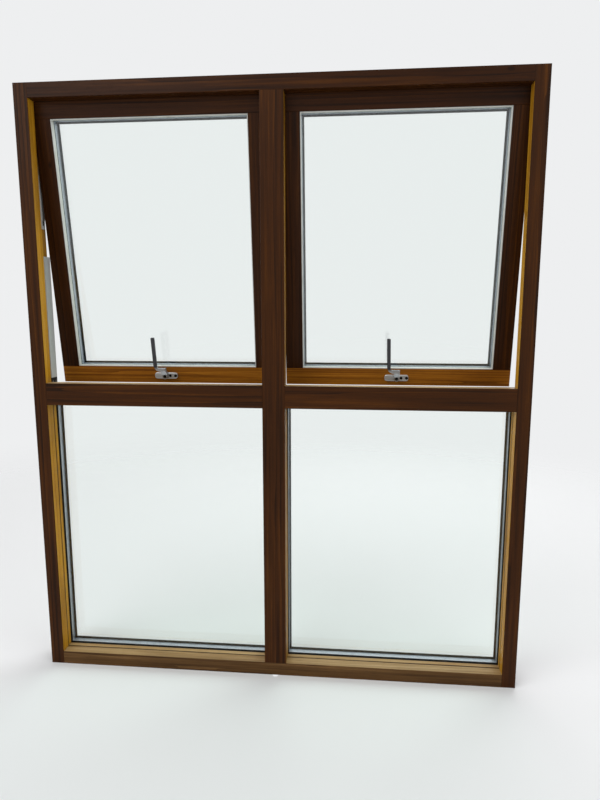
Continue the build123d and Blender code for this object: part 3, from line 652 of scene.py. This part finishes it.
def circle(count: int) -> tuple[np.ndarray, np.ndarray]:
    """Cosines and sines of equal steps round a circle."""
    angle = np.linspace(0, 2 * np.pi, count, endpoint=False)
    return np.cos(angle), np.sin(angle)


def box_profile(near: float, far: float, front: float, back: float, ease: float) -> np.ndarray:
    """A rectangle with cut corners, as (distance outwards, depth)."""
    return np.array(((near + ease, front), (far - ease, front), (far, front + ease),
                     (far, back - ease), (far - ease, back), (near + ease, back),
                     (near, back - ease), (near, front + ease)))


class Drive(Enum):
    """What is sunk in the middle of a screw's head."""

    CROSS = "cross"
    SLOT = "slot"
    HEXAGON = "hexagon"
    NONE = "none"


@dataclass(frozen=True)
class Head:
    """A turned head: a low crown with a rounded rim, and the drive sunk in it.

    On a polar grid the height is crown * (1 - (r / R) ** 2), less the drive's depth where the
    point lies inside the drive, and the last rows run down the side to the seat.
    """

    radius: float
    crown: float
    seat: float
    drive: Drive = Drive.CROSS
    size: float = 0.62
    arm: float = 0.13
    depth: float = 1.2 * MM
    rows: int = 13
    columns: int = 40

    def sunk(self, u: np.ndarray, v: np.ndarray) -> np.ndarray:
        """How much of the drive's depth each point has, from 0 to 1.

        A cross is where the smaller of |u| and |v| is under the arm's half width and the larger
        under its reach, a slot is the cross's upright arm alone, and a hexagon is where the
        largest of three slanted distances is under its reach.

        Args:
            u: First coordinate, in head radii.
            v: Second coordinate.

        Returns:
            Shares of the depth, with a steep slope at the drive's edge.
        """
        across, up = np.abs(u), np.abs(v)
        if self.drive is Drive.CROSS:
            far = np.maximum(np.minimum(across, up) / self.arm, np.maximum(across, up) / self.size)
        elif self.drive is Drive.SLOT:
            far = np.maximum(across / self.arm, up / self.size)
        elif self.drive is Drive.HEXAGON:
            slant = [np.abs(u * math.cos(a) + v * math.sin(a)) for a in np.radians((0, 60, 120))]
            far = np.maximum.reduce(slant) / self.size
        else:
            return np.zeros_like(u)
        return np.clip((1.12 - far) / 0.24, 0.0, 1.0)

    def patch(self) -> Patch:
        """The closed head about the origin, seat downwards, axis along Z.

        Returns:
            The surface.
        """
        share = np.concatenate((np.linspace(0.04, 0.94, self.rows), (1.0, 1.0, 0.93)))[:, None]
        u, v = (share * part for part in circle(self.columns))
        height = self.crown * (1 - share ** 2) - self.depth * self.sunk(u, v)
        height[-3:] = np.array((-0.1, -0.5, -1.0))[:, None] * self.seat
        return Patch(np.stack((u * self.radius, v * self.radius, height), -1), capped=True)


@dataclass(frozen=True)
class Washer:
    """A flat ring with eased edges, its axis along Z: an eight-sided outline turned round."""

    inner: float
    outer: float
    height: float
    ease: float = 0.25 * MM
    columns: int = 36

    def patch(self) -> Patch:
        """The closed ring, from its foot at the origin upwards.

        Returns:
            The surface.
        """
        outline = box_profile(self.inner, self.outer, 0.0, self.height, self.ease)
        radius, height = outline[:, :1], outline[:, 1:]
        x, y = (radius * part for part in circle(self.columns))
        return Patch(np.stack((x, y, np.broadcast_to(height, x.shape)), -1), closed=True)


@dataclass(frozen=True)
class SealedUnit:
    """What lies between two panes: a spacer bar, a black band on each side of it, and its back.

    Each outline is closed, as (distance outwards from the sight line, depth).
    """

    front: float
    back: float
    edge: float
    inset: float = 4.0 * MM
    reach: float = 8.0 * MM
    shoulder: float = 0.6 * MM
    cut: float = 2.5 * MM
    seam: float = 0.35 * MM
    band: float = 0.35 * MM
    band_ends: tuple[float, float] = (-2.9 * MM, 3.9 * MM)

    def bar(self) -> np.ndarray:
        """Outline of the bar, from its face towards the cavity outwards.

        The face has a shallow seam down its middle and rounded shoulders, and the outer corners
        are cut at 45 degrees.

        Returns:
            The closed outline.
        """
        front, back, round_off = self.front + self.band, self.back - self.band, self.shoulder
        near, far, middle = -self.inset, self.reach - self.inset, (front + back) / 2
        low = arc((near + round_off, back - round_off), round_off, 90, 180, 5)
        high = arc((near + round_off, front + round_off), round_off, 180, 270, 5)
        face = ((near, middle + 0.9 * MM), (near + self.seam, middle + 0.5 * MM),
                (near + self.seam, middle - 0.5 * MM), (near, middle - 0.9 * MM))
        rear = ((far - self.cut, front), (far, front + self.cut), (far, back - self.cut),
                (far - self.cut, back))
        return np.concatenate((low, face, high, rear))

    def seals(self) -> list[np.ndarray]:
        """Outlines of the two bands, and of the seal behind the bar.

        Returns:
            The three closed outlines.
        """
        ease = 0.08 * MM
        return [box_profile(*self.band_ends, self.front, self.front + self.band, ease),
                box_profile(*self.band_ends, self.back - self.band, self.back, ease),
                box_profile(self.reach - self.inset, self.edge, self.front, self.back, 1.0 * MM)]


# ---- the window's own sizes


@dataclass(frozen=True)
class Opening:
    """A rectangle in each column that profiles are carried round."""

    width: float
    bottom: float
    top: float

    @property
    def half(self) -> tuple[float, float]:
        """Half of its width and of its height."""
        return self.width / 2, (self.top - self.bottom) / 2

    def loop(self, side: Side, profile: np.ndarray) -> Patch:
        """Carries a profile round the opening, with mitred corners.

        At the corner (sx, sz) from the opening's middle a profile point (s, t) lands on
        (sx * (half width + s), t, sz * (half height + s)), so s is the distance outwards from
        the sight line and t the depth.

        Args:
            side: The column.
            profile: Closed outline, one (s, t) a row.

        Returns:
            The closed surface.
        """
        signs = np.array(((-1, -1), (1, -1), (1, 1), (-1, 1)))
        out, deep = profile.T
        x = side.x + signs[:, :1] * (self.half[0] + out)
        z = (self.top + self.bottom) / 2 + signs[:, 1:] * (self.half[1] + out)
        return Patch(np.stack((x, np.broadcast_to(deep, x.shape), z), -1), closed=True)


@dataclass(frozen=True)
class WindowSizes:
    """The sizes that the added pieces share with the solids, with the sashes closed."""

    column: float = 400.5 * MM
    low: Opening = Opening(727.0 * MM, 45.0 * MM, 938.0 * MM)
    high: Opening = Opening(727.0 * MM, 1012.0 * MM, 1905.0 * MM)
    sight: Opening = Opening(639.0 * MM, 1053.0 * MM, 1861.0 * MM)
    stop: float = 38.0 * MM
    cheek: float = 388.5 * MM
    pivot_y: float = 88.0 * MM
    pivot_z: float = 1908.0 * MM
    ajar: float = math.radians(7.5)
    spindle_z: float = 1023.5 * MM
    stay_length: float = 180.0 * MM


SIZES = WindowSizes()


def ajar() -> Matrix:
    """How a sash moves from closed to its place at rest, ajar about its pivots."""
    there = Matrix.Translation((0, SIZES.pivot_y, SIZES.pivot_z))
    return there @ Matrix.Rotation(SIZES.ajar, 4, "X") @ there.inverted()


def on_sash(x: float, y: float, z: float) -> Point:
    """Where a point of a closed sash is at rest."""
    return tuple(ajar() @ Vector((x, y, z)))


def facing(place: Point, normal: Point, spin: float = 0.0) -> Matrix:
    """A move that stands something at a place, its Z axis along a normal and spun about it."""
    turn = Vector(normal).to_track_quat("Z", "Y").to_matrix().to_4x4()
    return Matrix.Translation(place) @ turn @ Matrix.Rotation(spin, 4, "Z")


def on_cheek(side: Side, hand: int, height: float, z: float, y: float = SIZES.pivot_y,
             spin: float = 0.0) -> Matrix:
    """A move that stands something off a vent's cheek, the left one (hand -1) or right one (1)."""
    return facing((side.x + hand * (SIZES.cheek - height), y, z), (-hand, 0.0, 0.0), spin)


def on_front(side: Side, across: float, y: float) -> Matrix:
    """A move that stands something before a sash ajar, level with its spindle."""
    return ajar() @ facing((side.x + across, y, SIZES.spindle_z), (0, -1, 0))


# ---- dressing and adding pieces


def dress(node: str, material: Material, soften: float = 0.0) -> None:
    """Gives a CAD node its finish, and softens its arrises.

    Args:
        node: The node's name.
        material: Its finish.
        soften: Width of the softened arris, or 0 for none.
    """
    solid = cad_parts[node]
    for slot in solid.material_slots:
        slot.material = material
    if soften:
        weld = solid.modifiers.new("weld", "WELD")
        weld.merge_threshold = 0.01 * MM
        arris = solid.modifiers.new("arris", "BEVEL")
        arris.width = soften
        arris.segments = 3
        arris.limit_method = "ANGLE"
        arris.angle_limit = ARRIS_EDGE
        arris.harden_normals = True
    log.info("dressed %s with %s", node, material.name)


def dress_timber(node: str, run: Run, soften: float, lean: float = 0.0, **fields: object) -> None:
    """Gives a member a timber finish of its own, figured from the member's middle.

    Args:
        node: The member's node.
        run: Which way its grain runs.
        soften: Width of its softened arrises.
        lean: How far it leans with its sash.
        fields: Other fields of the finish.
    """
    low, high = (np.array(corner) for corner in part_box(node))
    centre = tuple(((low + high) / 2).tolist())
    seed = sum(ord(letter) * place for place, letter in enumerate(node, 1))
    dress(node, Timber(node + "_timber", run, centre, lean, seed, **fields).material(), soften)


def add_piece(name: str, patches: list[Patch], material: Material, body: str, slot: str,
              *replaced: str) -> None:
    """Makes a piece, lets it ride on a body and names its slot and what it stands for.

    Args:
        name: The piece's name.
        patches: Its surfaces.
        material: Its finish.
        body: The body that it rides on.
        slot: Name of a material slot; not used.
        replaced: The nodes that it stands for.
    """
    piece = mesh_piece(name, patches, material)
    if replaced:
        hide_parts(*replaced)
    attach(piece, body)
    log.info("made %s with %d faces", name, len(piece.data.polygons))


class Palette:
    """The finishes that several sub-assemblies share, each built once."""

    def __init__(self) -> None:
        """Builds the shared materials."""
        self.glass = ClearGlass().material()
        self.trim = Moulded("pale_trim", srgb(212, 212, 208), srgb(158, 152, 138), 0.42).material()
        self.rubber = Moulded("black_rubber", srgb(18, 19, 19), srgb(58, 56, 52), 0.6,
                              dusty=0.3, shine=0.25).material()
        self.keep = Moulded("black_keep_plastic", srgb(17, 17, 18), srgb(48, 46, 43), 0.5,
                            shine=0.2).material()
        self.sealant = Moulded("edge_sealant", srgb(30, 31, 33), srgb(52, 52, 52), 0.7,
                               grain=500.0, relief=0.2 * MM).material()
        self.fixed_spacer = Spacer("fixed_spacer_metal", (0.0, 77.0 * MM, 0.0)).material()
        self.sash_spacer = Spacer("sash_spacer_metal", on_sash(0.0, 76.0 * MM, 0.0),
                                  SIZES.ajar).material()
        self.stay = Metal("stay_steel", srgb(168, 168, 166), srgb(112, 108, 100), 0.30,
                          Run.UP).material()
        self.rail = Metal("rail_metal", srgb(206, 209, 207), srgb(164, 163, 158), 0.45,
                          Run.UP, dull=0.14, metallic=0.15).material()
        # The foot of the lever's painted dark reflection.
        dark_lever_foot = on_sash(0.0, 0.0, SIZES.spindle_z + 26.0 * MM)
        self.handle = Metal("handle_metal", srgb(182, 184, 187), srgb(140, 140, 140), 0.3,
                            Run.UP, SIZES.ajar, dark_lever_foot=dark_lever_foot).material()
        self.screw = Metal("screw_steel", srgb(150, 148, 144), srgb(92, 86, 78), 0.32).material()
        # Near-black screws: real heads, coloured as painted shade of the holes that they sit in.
        self.shade_dark_screw = Metal("shaded_screw_steel", srgb(30, 29, 28), srgb(18, 17, 16),
                                0.5).material()


# ---- sub-assemblies


@dataclass
class TimberFrame:
    """Jambs, head, cill, mullion and transoms, with the seal that each vent closes on."""

    palette: Palette
    soften: float = 1.2 * MM
    seal_width: float = 8.0 * MM
    seal_foot: float = 0.7 * MM
    seal_thickness: float = 2.6 * MM
    seal_inset: float = 2.0 * MM
    keep_soften: float = 0.8 * MM
    keep_face: float = 9.0 * MM
    keep_z: float = 1008.5 * MM
    keep_screws: tuple[float, ...] = (80.0, 102.0)
    keep_head: Head = Head(3.4 * MM, 0.5 * MM, 0.8 * MM)
    track_screws: tuple[float, ...] = (1640, 1700, 1790, 1880)
    track_faces: tuple[float, ...] = (2.05, 2.05, 6.05, 6.05)
    track_head: Head = Head(3.1 * MM, 0.12 * MM, 0.6 * MM, depth=0.9 * MM)

    def members(self) -> None:
        """Finishes the timber members, grain along each."""
        # Painted light and shade: each member's tone, and its share of painted sunlight on the
        # faces into the openings.
        for node, run, tone, reveal, way in (
                ("left_jamb", Run.UP, Tone.SHADED, 0.92, 1),
                ("right_jamb", Run.UP, Tone.SHADED, 0.92, -1),
                ("mullion", Run.UP, Tone.SHADED, 0.45, 0),
                ("head", Run.ACROSS, Tone.DEEP, 0.0, 0),
                ("cill", Run.ACROSS, Tone.HALF, 0.8, 0),
                ("left_transom", Run.ACROSS, Tone.SHADED, 0.95, 0),
                ("right_transom", Run.ACROSS, Tone.SHADED, 0.95, 0)):
            dress_timber(node, run, self.soften, tone=tone, reveal=reveal, reveal_way=way)

    def seal_profile(self) -> np.ndarray:
        """Outline of the seal: a thin foot against the stop, and a bulb on it.

        The bulb is an arc of a circle that just reaches the seal's full thickness.

        Returns:
            The closed outline.
        """
        bulb = self.seal_thickness / 2
        crown = arc((self.seal_width * 0.6, self.seal_thickness - bulb), bulb, -20, 200, 15)
        foot = ((0.0, self.seal_foot), (0.0, 0.0), (self.seal_width, 0.0),
                (self.seal_width, self.seal_foot))
        return np.concatenate((crown, foot))

    def seals(self) -> None:
        """Lays the bulb seal round both vents."""
        profile = self.seal_profile() + (self.seal_inset, SIZES.stop)
        add_piece("vent_seals", [SIZES.high.loop(side, profile) for side in Side],
                  self.palette.rubber, "frame", "black_rubber", "weather_seals")

    def hardware(self) -> None:
        """Finishes the tracks, the cheek rails and the keeps."""
        dress("stay_tracks", self.palette.rail)
        dress("cheek_rails", self.palette.rail)
        dress("lock_keeps", self.palette.keep, self.keep_soften)

    def screws(self) -> None:
        """Sinks screws in the stay tracks and the bolt keeps."""
        track, keep = self.track_head.patch(), self.keep_head.patch()
        found = []
        for side in Side:
            for hand in (-1, 1):
                found += [track.placed(on_cheek(side, hand, face * MM, z * MM, spin=z))
                          for z, face in zip(self.track_screws, self.track_faces)]
            found += [keep.placed(on_cheek(side, -1, self.keep_face, self.keep_z, y * MM, y))
                      for y in self.keep_screws]
        add_piece("frame_screws", found, self.palette.screw, "frame", "stay_steel")

    def build(self) -> None:
        """Builds the frame in order."""
        self.members()
        self.seals()
        self.hardware()
        self.screws()


@dataclass
class SidePart:
    """What the sub-assemblies of one side share: their finishes and the names of their nodes."""

    palette: Palette
    side: Side
    prefix = ""

    def node(self, part: str) -> str:
        """Full name of one of its nodes or pieces."""
        return f"{self.side.value}_{self.prefix}{part}"


@dataclass
class Glazed(SidePart):
    """What a fixed light and a sash share: a sealed unit inside a sight line."""

    opening = SIZES.low
    rest = Matrix()

    def loop(self, profile: np.ndarray) -> Patch:
        """A profile carried round the glass's sight line, where it is at rest."""
        return self.opening.loop(self.side, profile).placed(self.rest)

    def glaze(self, unit: SealedUnit, metal: Material, body: str) -> None:
        """Finishes the two panes, and lays the spacer bar and the seals between them.

        Args:
            unit: The sizes of what lies between the panes.
            metal: The spacer bar's finish.
            body: The body that they ride on.
        """
        for part in ("inner_pane", "outer_pane"):
            dress(self.node(part), self.palette.glass)
        add_piece(self.node("spacer_bar"), [self.loop(unit.bar())], metal, body,
                  "spacer_metal", self.node("spacer"))
        add_piece(self.node("edge_sealant"), [self.loop(seal) for seal in unit.seals()],
                  self.palette.sealant, body, "black_rubber")


@dataclass
class FixedLight(Glazed):
    """A fixed light: a sealed unit held between timber beads and black gaskets."""

    soften: float = 2.0 * MM
    unit: SealedUnit = SealedUnit(67.0 * MM, 87.0 * MM, 21.5 * MM)
    gasket_width: float = 22.0 * MM
    inner_gasket: tuple[float, ...] = (59.5 * MM, 63.0 * MM, 0.4 * MM)
    outer_gasket: tuple[float, ...] = (91.0 * MM, 94.0 * MM, 10.0 * MM)
    prefix = "light_"

    def beads(self) -> None:
        """Finishes the room-side beads, with painted sunlight on their faces into the opening and
        a band of painted shade along the frame, and the outer bead.
        """
        for part, run, tone, reveal, way in (
                ("bottom_bead", Run.ACROSS, Tone.BLEACHED, 0.9, 0),
                ("top_bead", Run.ACROSS, Tone.SHADED, 0.0, 0),
                ("left_bead", Run.UP, Tone.SHADED, 0.9, 1),
                ("right_bead", Run.UP, Tone.SHADED, 0.9, -1)):
            # Painted sunlight on the faces into the opening, and painted shade along each bead's
            # joint with the frame.
            node = self.node(part)
            low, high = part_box(node)
            dress_timber(node, run, self.soften, tone=tone, reveal=reveal, reveal_way=way,
                         joint=(high[1] - low[1]) / 2)
        dress_timber(self.node("outer_bead"), Run.UP, self.soften, tone=Tone.HALF,
                     mitre=self.opening.half)

    def gasket_profile(self, front: float, back: float, lip: float) -> np.ndarray:
        """Outline of a gasket strip between timber and glass, its exposed edge rounded.

        Args:
            front: Depth of its room face.
            back: Depth of its outer face.
            lip: How far the rounded edge stands inside the sight line.

        Returns:
            The closed outline.
        """
        radius = (back - front) / 2
        nose = arc((radius - lip, front + radius), radius, 270, 90, 11)
        return np.concatenate((nose, ((self.gasket_width, back), (self.gasket_width, front))))

    def gaskets(self) -> None:
        """Lays one gasket on each face of the sealed unit."""
        loops = [self.loop(self.gasket_profile(*sizes))
                 for sizes in (self.inner_gasket, self.outer_gasket)]
        add_piece(self.node("gasket_strips"), loops, self.palette.rubber, "frame",
                  "black_rubber", self.node("gasket"))

    def build(self) -> None:
        """Builds the light in order."""
        self.beads()
        self.glaze(self.unit, self.palette.fixed_spacer, "frame")
        self.gaskets()


@dataclass
class Sash(Glazed):
    """A top-hung sash: four timber members round a sealed unit, with its hinge-side bars."""

    soften: float = 1.4 * MM
    unit: SealedUnit = SealedUnit(66.0 * MM, 86.0 * MM, 11.5 * MM)
    trim_width: float = 3.0 * MM
    trim_front: float = 45.0 * MM
    glass_front: float = 62.0 * MM
    glass_back: float = 90.0 * MM
    gasket_lip: float = 10.0 * MM
    gasket_tip: float = 0.9 * MM
    gasket_height: float = 4.0 * MM
    bar_face: float = 10.0 * MM
    bar_screws: tuple[float, ...] = (1755.0 * MM, 1815.0 * MM, 1878.0 * MM)
    bar_head: Head = Head(3.3 * MM, 0.25 * MM, 0.6 * MM, depth=0.9 * MM)
    arm_top: float = 8.6 * MM
    arm_bottom: float = 6.6 * MM
    rivet: Head = Head(4.6 * MM, 0.35 * MM, 0.15 * MM, Drive.NONE)
    washer: Washer = Washer(2.6 * MM, 6.0 * MM, 1.4 * MM)
    plate_face: float = 33.0 * MM
    crossed: Head = Head(4.9 * MM, 0.5 * MM, 0.1 * MM)
    crossed_offset: float = 15.5 * MM
    slotted: Head = Head(5.4 * MM, 0.5 * MM, 0.1 * MM, Drive.SLOT, 0.8, 0.11)
    slotted_offset: float = 34.0 * MM
    prefix = "sash_"
    opening = SIZES.sight
    rest = ajar()

    @property
    def body(self) -> str:
        """The body that the sash's pieces ride on."""
        return f"{self.side.value}_sash"

    def timbers(self) -> None:
        """Finishes rails, stiles and the outer bead, with the grain leaning as the sash does."""
        # Painted light and shade: the top rail and stiles in deep shade, the bottom rail sunlit.
        for part, run, tone, mitre in (
                ("top_rail", Run.ACROSS, Tone.DEEP, None),
                ("bottom_rail", Run.ACROSS, Tone.BLEACHED, None),
                ("left_stile", Run.UP, Tone.DEEP, None),
                ("right_stile", Run.UP, Tone.DEEP, None),
                ("outer_bead", Run.UP, Tone.HALF, self.opening.half)):
            dress_timber(self.node(part), run, self.soften, SIZES.ajar, tone=tone, mitre=mitre)

    def outer_gasket(self) -> None:
        """Runs a rubber wedge round the glass outside, its free edge a quarter round."""
        tip = self.gasket_tip
        nose = arc((tip - self.gasket_lip, self.glass_back), tip, 180, 90, 6)
        foot, top = (0.0, self.glass_back), (0.0, self.glass_back + self.gasket_height)
        add_piece(self.node("outer_gasket"), [self.loop(np.concatenate(((foot,), nose, (top,))))],
                  self.palette.rubber, self.body, "black_rubber")

    def glazing_trim(self) -> None:
        """Runs the pale strip round the glass, its room edge a half round."""
        radius = self.trim_width / 2
        nose = arc((-radius, self.trim_front + radius), radius, 180, 360, 13)
        back = ((0.0, self.glass_front), (-self.trim_width, self.glass_front))
        add_piece(self.node("glazing_strip"), [self.loop(np.concatenate((nose, back)))],
                  self.palette.trim, self.body, "pale_trim", self.node("glazing_trim"))

    def side_screws(self) -> None:
        """Sinks screws in the side bars, and rivets the stays to them over washers."""
        pin_z = SIZES.pivot_z - SIZES.stay_length
        parts = [(self.bar_head, self.bar_face, z, 9 * z) for z in self.bar_screws]
        parts += [(self.rivet, self.arm_bottom, pin_z, 0.0),
                  (self.washer, self.arm_top, pin_z, 0.0)]
        found = [part.patch().placed(ajar() @ on_cheek(self.side, hand, height, z, spin=spin))
                 for hand in (-1, 1) for part, height, z, spin in parts]
        add_piece(self.node("bar_screws"), found, self.palette.screw, self.body, "stay_steel")

    def plate_screws(self) -> None:
        """Screws the handle's plate on, with a crossed head and a slotted one."""
        heads = [head.patch().placed(on_front(self.side, offset, self.plate_face))
                 for head, offset in ((self.crossed, self.crossed_offset),
                                      (self.slotted, self.slotted_offset))]
        add_piece(self.node("plate_screws"), heads, self.palette.shade_dark_screw, self.body,
                  "handle_metal")

    def build(self) -> None:
        """Builds the sash in order."""
        self.timbers()
        self.glaze(self.unit, self.palette.sash_spacer, self.body)
        self.outer_gasket()
        dress(self.node("pivot_bars"), self.palette.stay)
        self.glazing_trim()
        self.side_screws()
        self.plate_screws()


@dataclass
class Hardware(SidePart):
    """Stays, handle and lock rod of one sash."""

    arm_top: float = 8.6 * MM
    rivet: Head = Head(4.4 * MM, 0.7 * MM, 0.2 * MM, Drive.NONE)
    hub_face: float = 18.7 * MM
    hub_floor: float = 22.2 * MM
    collar: Washer = Washer(3.4 * MM, 5.4 * MM, 0.5 * MM)
    socket: Head = Head(3.3 * MM, 0.1 * MM, 0.9 * MM, Drive.HEXAGON, 0.5, depth=1.6 * MM)
    well_y: float = 36.0 * MM
    well_half: tuple[float, ...] = (36.4 * MM, 2.5 * MM, 6.5 * MM)
    plate_soften: float = 0.35 * MM
    handle_soften: float = 0.5 * MM

    def metalwork(self) -> None:
        """Finishes the stays, the plate, the handle and the lock rod."""
        dress(self.node("stay_arms"), self.palette.stay)
        dress(self.node("stay_shoes"), self.palette.keep)
        well = on_sash(self.side.x, self.well_y, SIZES.spindle_z), self.well_half
        plate = Metal(self.node("plate_metal"), srgb(206, 208, 210), srgb(160, 160, 160), 0.36,
                      Run.ACROSS, SIZES.ajar, well=well).material()
        dress(self.node("handle_plate"), plate, self.plate_soften)
        dress(self.node("handle"), self.palette.handle, self.handle_soften)
        dress(self.node("lock_rod"), self.palette.stay)

    def shoe_rivets(self) -> None:
        """Rivets each shoe to its arm, two stay lengths, foreshortened, below the pivot."""
        shoe_z = SIZES.pivot_z - 2 * SIZES.stay_length * math.cos(SIZES.ajar)
        found = [self.rivet.patch().placed(on_cheek(self.side, hand, self.arm_top, shoe_z))
                 for hand in (-1, 1)]
        add_piece(self.node("shoe_rivets"), found, self.palette.screw,
                  self.node("stay_shoes"), "stay_steel")

    def handle_screw(self) -> None:
        """Sets a collared socket screw in the handle's hub."""
        found = [part.patch().placed(on_front(self.side, 0.0, y))
                 for part, y in ((self.socket, self.hub_floor), (self.collar, self.hub_face))]
        # Near-black: painted shade of the hub's hole.
        add_piece(self.node("handle_screw"), found, self.palette.shade_dark_screw,
                  self.node("handle"), "handle_metal")

    def build(self) -> None:
        """Builds the hardware in order."""
        self.metalwork()
        self.shoe_rivets()
        self.handle_screw()


# ---- the studio


@dataclass(frozen=True)
class Lamp:
    """A square soft lamp: where it hangs, the height of the axis it faces, its side and watts."""

    name: str
    place: Point
    aim: float
    size: float
    power: float

    def hang(self) -> None:
        """Hangs the lamp, unseen by the camera and through the glass."""
        light = bpy.data.lights.new(self.name, "AREA")
        light.shape = "SQUARE"
        light.size = self.size
        light.energy = self.power
        holder = bpy.data.objects.new(self.name, light)
        toward = Vector((0, 0, self.aim)) - Vector(self.place)
        turn = toward.to_track_quat("-Z", "Y").to_matrix().to_4x4()
        holder.matrix_world = Matrix.Translation(self.place) @ turn
        holder.visible_camera = False
        holder.visible_transmission = False
        bpy.context.scene.collection.objects.link(holder)


@dataclass
class Studio:
    """Pale floor, soft lamps, plain surroundings and the camera."""

    eye: Point = (0.2671, -1.9220, 1.2725)
    right: Point = (0.99561, 0.09365, -0.00065)
    up: Point = (-0.01397, 0.1554, 0.98775)
    focal_pixels: float = 608.21
    picture_height: float = 800.0
    sensor: float = 36.0
    pale: Colour = srgb(238, 239, 240)
    daylight: float = 0.55
    floor_z: float = -0.2 * MM
    floor_radii: tuple[float, float] = (0.01, 6.0)
    floor_fade: tuple[float, float] = (1.2, 4.5)
    lamps: tuple[Lamp, ...] = (Lamp("key", (-2.6, -3.2, 4.2), 1.0, 4.0, 110.0),
                               Lamp("fill", (3.4, -2.4, 2.6), 0.9, 3.6, 36.0),
                               Lamp("outside", (1.2, 3.2, 3.8), 1.2, 4.0, 105.0))

    def camera(self) -> None:
        """Stands the camera where the photograph was taken from."""
        right, up = Vector(self.right).normalized(), Vector(self.up)
        back = right.cross(up).normalized()
        view = Matrix((right, back.cross(right), back)).transposed().to_4x4()
        view.translation = self.eye
        lens = bpy.data.cameras.new("camera")
        lens.sensor_fit = "VERTICAL"
        lens.sensor_height = self.sensor
        lens.lens = self.focal_pixels * self.sensor / self.picture_height
        lens.clip_end = 100
        stand = bpy.data.objects.new("camera", lens)
        stand.matrix_world = view
        bpy.context.scene.collection.objects.link(stand)
        bpy.context.scene.camera = stand

    def world(self) -> None:
        """Lights the object evenly, and shows a pale surround to the camera and in reflections."""
        world = bpy.data.worlds.new("surround")
        bpy.context.scene.world = world
        world.use_nodes = True
        w = Nodes(world.node_tree)
        path = w.node("LightPath").outputs
        shown = w.maths("MAXIMUM", path["Is Camera Ray"], path["Is Transmission Ray"])
        shown = w.maths("MAXIMUM", shown, path["Is Glossy Ray"])
        soft = w.node("Background", ((1, 1, 1, 1), self.daylight))
        plain = w.node("Background", (self.pale, 1.0))
        either = w.node("MixShader", (shown, soft.outputs[0], plain.outputs[0]))
        w.node("OutputWorld", (either.outputs[0],))

    def floor(self) -> None:
        """Lays a round pale floor that fades into the surround towards its rim."""
        s = Shader("pale_floor")
        s.set(Base_Color=self.pale, Roughness=0.9)
        length = s.node("VectorMath", (s.place(),), operation="LENGTH")
        s.see_through(s.span(length.outputs["Value"], *self.floor_fade))
        x, y = (np.array(self.floor_radii)[:, None] * part for part in circle(96))
        disc = Patch(np.stack((x, y, np.full(x.shape, self.floor_z)), -1))
        mesh_piece("floor", [disc], s.material)

    def build(self) -> None:
        """Sets up the whole studio."""
        self.camera()
        self.world()
        self.floor()
        for lamp in self.lamps:
            lamp.hang()
        bpy.context.scene.view_settings.view_transform = "Standard"


def main() -> None:
    """Builds the studio and the window in order, and reports each piece."""
    logging.basicConfig(level=logging.INFO, format="%(name)s: %(message)s")
    palette = Palette()
    Studio().build()
    TimberFrame(palette).build()
    for side in Side:
        FixedLight(palette, side).build()
        Sash(palette, side).build()
        Hardware(palette, side).build()


if __name__ == "__main__":
    main()
